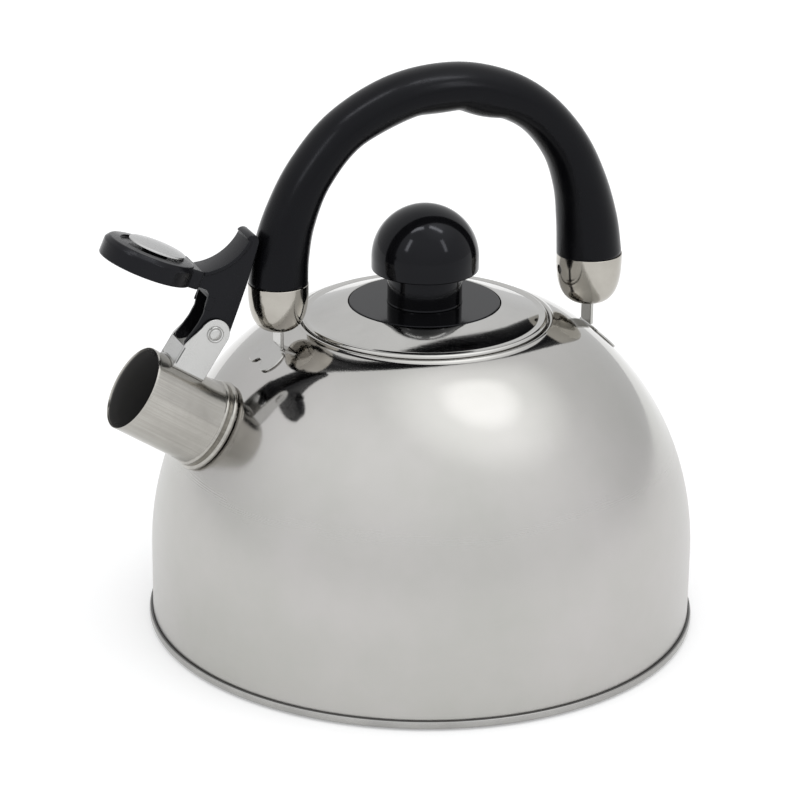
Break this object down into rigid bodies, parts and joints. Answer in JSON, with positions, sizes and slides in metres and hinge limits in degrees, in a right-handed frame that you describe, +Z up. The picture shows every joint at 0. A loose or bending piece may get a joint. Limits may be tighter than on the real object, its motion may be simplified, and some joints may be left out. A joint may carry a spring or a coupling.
{
  "type": "stovetop whistling kettle",
  "caption": "Domed stovetop kettle with arched handle, lift-off lid with ball knob, and a short round spout closed by a flip-up whistle lever.",
  "frame": {"origin": "centre of the flat of the base, on the surface the kettle stands on", "axes": "+Z up, the spout points along -X, the handle stands in the XZ plane, +X is towards the rear of the handle"},
  "size_m": [0.2445, 0.223, 0.2311],
  "materials": {
    "polished_steel": "polished stainless steel",
    "spout_steel": "plain stainless steel, lightly brushed",
    "bright_trim": "mirror-polished stainless steel",
    "disc_steel": "satin stainless steel",
    "lever_plastic": "black heat-proof plastic, satin",
    "grip_plastic": "black heat-proof plastic, smooth satin",
    "knob_plastic": "black heat-proof plastic, glossy"
  },
  "bodies": {
    "kettle": {"body_shell": "polished_steel", "base_pan": "polished_steel", "spout_tube": "spout_steel", "lever_bracket": "spout_steel", "lever_rivet": "bright_trim", "front_strap": "polished_steel", "rear_strap": "polished_steel", "front_ferrule": "bright_trim", "rear_ferrule": "bright_trim", "handle_grip": "grip_plastic", "front_screw": "spout_steel", "rear_screw": "spout_steel"},
    "whistle": {"whistle_lever": "lever_plastic", "whistle_disc": "disc_steel", "whistle_cup": "lever_plastic", "whistle_plate": "spout_steel"},
    "lid": {"lid_shell": "polished_steel", "lid_skirt": "spout_steel", "knob_guard": "knob_plastic", "knob": "knob_plastic", "knob_screw": "spout_steel", "knob_washer": "spout_steel"}
  },
  "joints": [
    {"name": "whistle_hinge", "type": "hinge", "parent": "kettle", "child": "whistle", "pos_m": [-0.09047, 0, 0.13426], "axis": [0, -1, 0], "range_deg": [0, 80]},
    {"name": "lid_lift", "type": "slide", "parent": "kettle", "child": "lid", "axis": [0, 0, 1], "range_m": [0, 0.03]}
  ]
}
